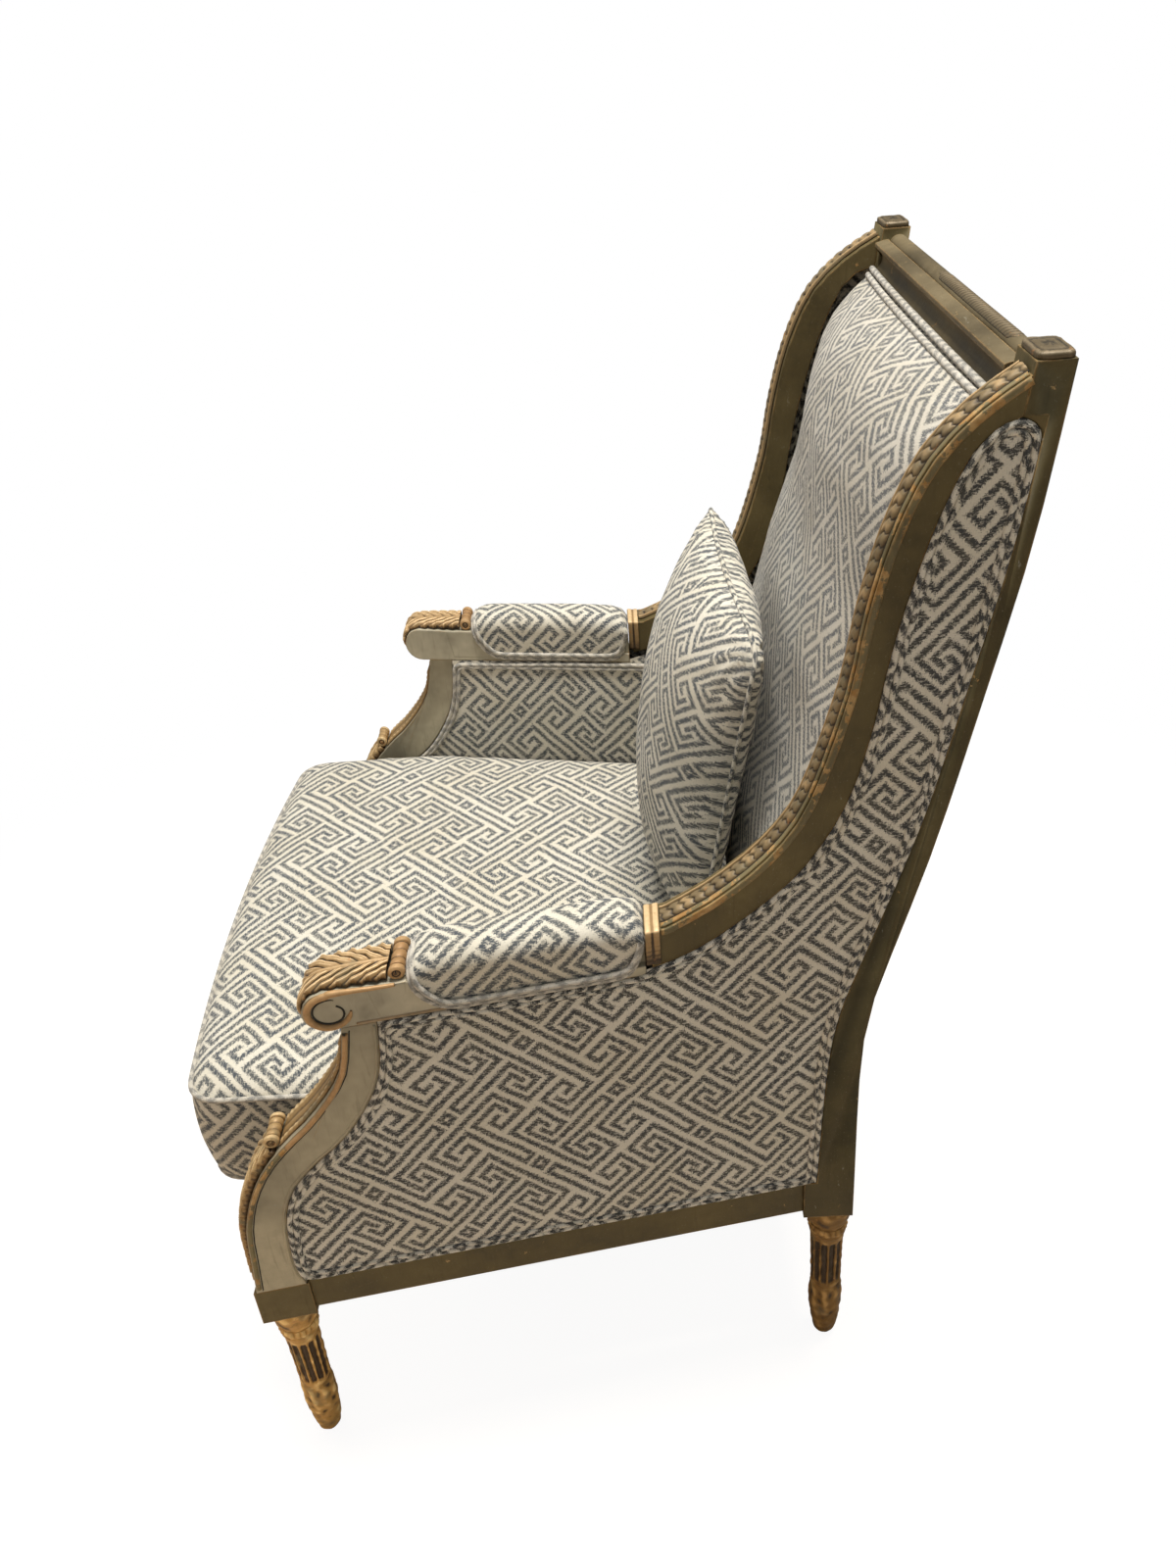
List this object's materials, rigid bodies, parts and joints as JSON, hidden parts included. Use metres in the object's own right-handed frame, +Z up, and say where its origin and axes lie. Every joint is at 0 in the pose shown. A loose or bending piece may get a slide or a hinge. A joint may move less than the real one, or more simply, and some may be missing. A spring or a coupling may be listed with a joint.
{
  "type": "bergere armchair",
  "caption": "High-backed winged bergere armchair: carved painted frame on turned fluted legs, closed upholstered sides, padded arms, loose seat cushion and loose lumbar pillow.",
  "frame": {"origin": "on the floor, under the middle of the chair's box", "axes": "+Z up; the sitter faces -Y, so the chair's left arm is at +X"},
  "size_m": [0.753, 0.7624, 1.0563],
  "materials": {
    "paint": "worn olive grey paint on carved wood",
    "gilt": "worn gilding on carved wood",
    "fabric": "matte woven cloth, blue-grey fret on a cream ground",
    "bare_wood": "bare sawn wood",
    "jute": "jute webbing",
    "lining": "dark dust cloth"
  },
  "bodies": {
    "frame": {"front_leg_left": "paint", "rear_stile_left": "paint", "side_seat_rail_left": "paint", "front_corner_block_left": "bare_wood", "rear_corner_block_left": "bare_wood", "arm_support_left": "paint", "arm_left": "paint", "wing_frame_left": "paint", "stile_cap_left": "gilt", "rope_moulding_left": "gilt", "arm_leaf_left": "gilt", "support_leaf_left": "gilt", "arm_collar_left": "gilt", "arm_pad_left": "fabric", "outer_side_panel_left": "fabric", "outer_panel_welt_left": "fabric", "inner_side_panel_left": "fabric", "front_leg_right": "paint", "rear_stile_right": "paint", "side_seat_rail_right": "paint", "front_corner_block_right": "bare_wood", "rear_corner_block_right": "bare_wood", "arm_support_right": "paint", "arm_right": "paint", "wing_frame_right": "paint", "stile_cap_right": "gilt", "rope_moulding_right": "gilt", "arm_leaf_right": "gilt", "support_leaf_right": "gilt", "arm_collar_right": "gilt", "arm_pad_right": "fabric", "outer_side_panel_right": "fabric", "outer_panel_welt_right": "fabric", "inner_side_panel_right": "fabric", "front_seat_rail": "paint", "rear_seat_rail": "paint", "lower_back_rail": "bare_wood", "crest_rail": "paint", "crest_ribbon": "gilt", "seat_webbing": "jute", "seat_deck": "fabric", "dust_cover": "lining", "back_pad": "fabric", "outer_back_panel": "fabric"},
    "seat_cushion": {"seat_cushion": "fabric"},
    "lumbar_pillow": {"lumbar_pillow": "fabric"}
  },
  "joints": [
    {"name": "cushion_lift", "type": "slide", "parent": "frame", "child": "seat_cushion", "axis": [0, -0.7071, 0.7071], "range_m": [0, 0.3]},
    {"name": "pillow_lift", "type": "slide", "parent": "seat_cushion", "child": "lumbar_pillow", "axis": [0, -0.35, 0.9367], "range_m": [0, 0.3]}
  ]
}
